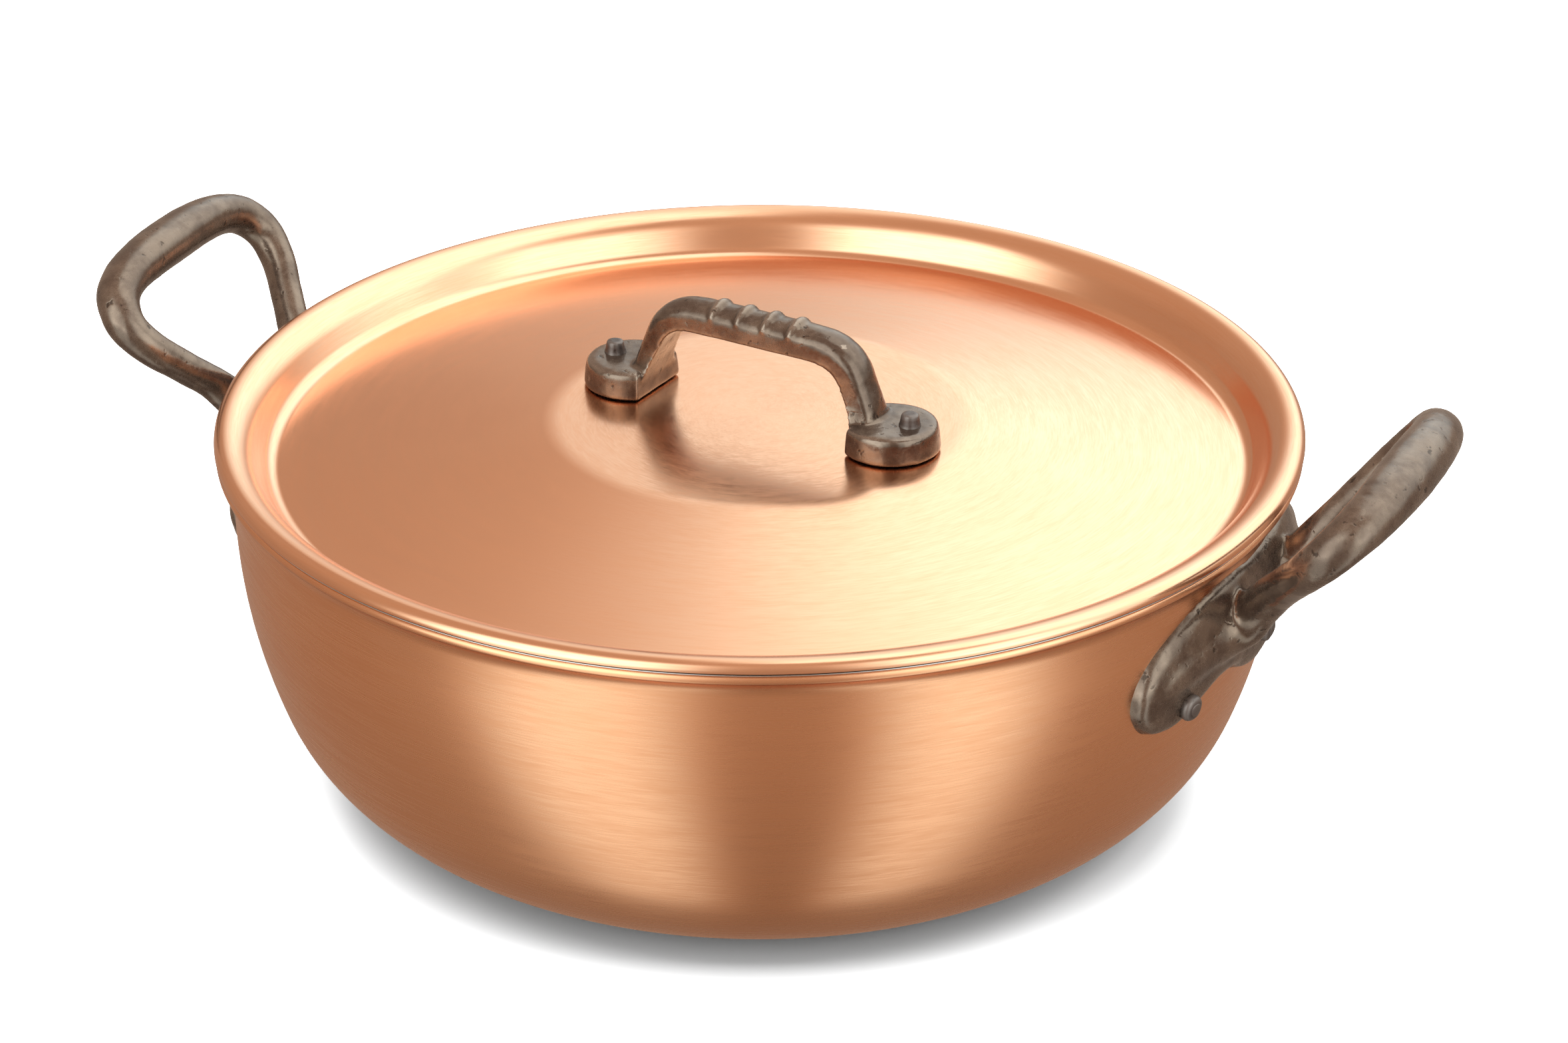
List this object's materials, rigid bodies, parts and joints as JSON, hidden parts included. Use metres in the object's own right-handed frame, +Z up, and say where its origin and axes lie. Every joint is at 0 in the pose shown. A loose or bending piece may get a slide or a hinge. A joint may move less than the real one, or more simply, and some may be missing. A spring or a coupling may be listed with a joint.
{
  "type": "lidded casserole pan",
  "caption": "Round lidded cooking pan in brushed copper lined with steel, with curved sides, a flared lip, cast-iron loop handles and a riveted bridge handle on its lid.",
  "frame": {"origin": "centre of the underside of the base, on the surface that the pan stands on", "axes": "+Z up, +X towards the right side handle, so that both side handles lie along X"},
  "size_m": [0.3764, 0.291, 0.134],
  "materials": {
    "copper": "fine brushed satin, worked round the axis",
    "steel_lining": "fine brushed stainless",
    "cast_iron": "dark oiled casting, worn bright on its high places",
    "rivet_iron": "dark peened iron"
  },
  "bodies": {
    "pan": {"pan_body": "copper", "pan_lining": "steel_lining", "handle_left": "cast_iron", "handle_right": "cast_iron", "rivet_left_front": "rivet_iron", "rivet_left_middle": "rivet_iron", "rivet_left_rear": "rivet_iron", "rivet_right_front": "rivet_iron", "rivet_right_middle": "rivet_iron", "rivet_right_rear": "rivet_iron"},
    "lid": {"lid_shell": "copper", "lid_lining": "steel_lining", "lid_handle": "cast_iron", "lid_pin_left": "rivet_iron", "lid_pin_right": "rivet_iron"}
  },
  "joints": [
    {"name": "lid_lift", "type": "slide", "parent": "pan", "child": "lid", "axis": [0, 0, 1], "range_m": [0, 0.13]}
  ]
}
